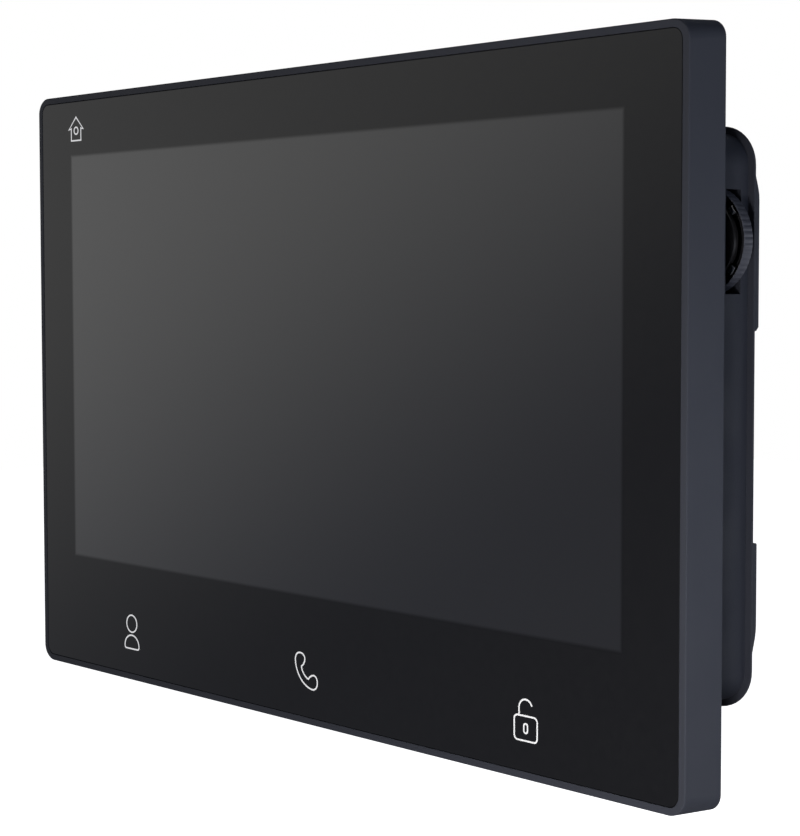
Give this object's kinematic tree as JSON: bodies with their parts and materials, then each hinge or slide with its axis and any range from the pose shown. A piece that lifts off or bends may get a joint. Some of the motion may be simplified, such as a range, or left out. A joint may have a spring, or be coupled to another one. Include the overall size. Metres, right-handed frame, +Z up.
{
  "type": "video intercom monitor",
  "caption": "Flat wall-hung video intercom monitor: black glass front with display window and touch keys, slim flared frame, smaller rear housing, side volume dial and steel wall bracket.",
  "frame": {"origin": "on the wall plane, at the centre of the bracket and its screw patterns, which is also behind the centre of the front frame", "axes": "+X to the right as seen from the room, +Y into the wall, +Z up"},
  "size_m": [0.1808, 0.0235, 0.1248],
  "materials": {
    "black_glass": "toughened glass, printed black on its back, high gloss",
    "frame_plastic": "satin moulded",
    "cover_plastic": "fine spark-eroded texture",
    "bracket_steel": "zinc-plated sheet",
    "tape": "foam tape",
    "display_metal": "pressed sheet",
    "cell_glass": "polarised display cell",
    "light_guide": "milky acrylic",
    "flex_film": "polyimide film",
    "circuit_board": "solder mask",
    "foam": "conductive foam",
    "led_lens": "clear lens",
    "soft_rubber": "moulded",
    "can_metal": "drawn can",
    "chip_black": "moulded epoxy",
    "ferrite": "sintered",
    "socket_plastic": "moulded nylon",
    "pin_tin": "tinned",
    "speaker_metal": "black",
    "cone_paper": "pressed pulp",
    "magnet_steel": "plated",
    "wire_sheath": "silicone sheath",
    "shaft_steel": "turned",
    "dial_plastic": "moulded, knurled rim",
    "screw_steel": "black zinc",
    "contact_metal": "nickel-plated spring strip"
  },
  "bodies": {
    "bracket": {"wall_bracket": "bracket_steel"},
    "monitor": {"board_screws": "screw_steel", "capacitors": "can_metal", "clock_crystal": "can_metal", "cover_screws": "screw_steel", "display_backlight": "light_guide", "display_bezel": "display_metal", "display_cell": "cell_glass", "display_flex": "flex_film", "display_tape": "tape", "door_sockets": "socket_plastic", "flex_sockets": "socket_plastic", "front_frame": "frame_plastic", "front_glass": "black_glass", "glass_tape": "tape", "key_board": "circuit_board", "key_flex": "flex_film", "key_lights": "led_lens", "key_pads": "foam", "main_board": "circuit_board", "memory_chips": "chip_black", "microphone": "can_metal", "microphone_boot": "soft_rubber", "microphone_leads": "pin_tin", "potentiometer": "speaker_metal", "power_inductors": "ferrite", "processor": "chip_black", "rear_cover": "cover_plastic", "regulator_chips": "chip_black", "signal_chips": "chip_black", "socket_pins": "pin_tin", "speaker_basket": "speaker_metal", "speaker_cone": "cone_paper", "speaker_leads": "wire_sheath", "speaker_magnet": "magnet_steel", "speaker_plug": "socket_plastic"},
    "dial": {"volume_dial": "dial_plastic", "dial_shaft": "shaft_steel", "dial_wiper": "contact_metal", "dial_screw": "screw_steel"}
  },
  "joints": [
    {"name": "monitor_lift", "type": "slide", "parent": "bracket", "child": "monitor", "axis": [0, 0, 1], "range_m": [0, 0.0053]},
    {"name": "volume_turn", "type": "hinge", "parent": "monitor", "child": "dial", "pos_m": [0.07933, -0.006, 0.0283], "axis": [0, 1, 0], "range_deg": [-140, 140]}
  ]
}
